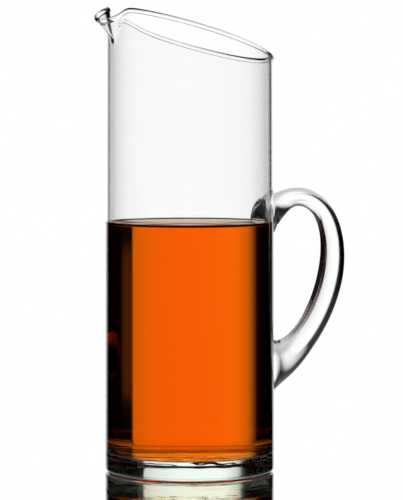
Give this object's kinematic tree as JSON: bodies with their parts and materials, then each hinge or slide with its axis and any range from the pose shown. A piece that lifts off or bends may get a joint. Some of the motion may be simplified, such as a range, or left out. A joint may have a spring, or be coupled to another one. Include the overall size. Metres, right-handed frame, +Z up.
{
  "type": "cocktail pitcher",
  "caption": "Tall clear glass pitcher with a slanted rim, a pinched pouring lip, a thick base and a solid glass loop handle, filled with an orange drink.",
  "frame": {"origin": "centre of the base's flat underside, on the body's axis", "axes": "+Z up along the body's axis; the spout points to -X and the handle to +X; +Y completes a right-handed frame"},
  "size_m": [0.1623, 0.1, 0.2737],
  "materials": {
    "body_glass": "gloss",
    "handle_glass": "gloss",
    "orange_drink": "gloss"
  },
  "bodies": {
    "root": {"glass_body": "body_glass", "handle": "handle_glass", "drink": "orange_drink"}
  },
  "joints": []
}
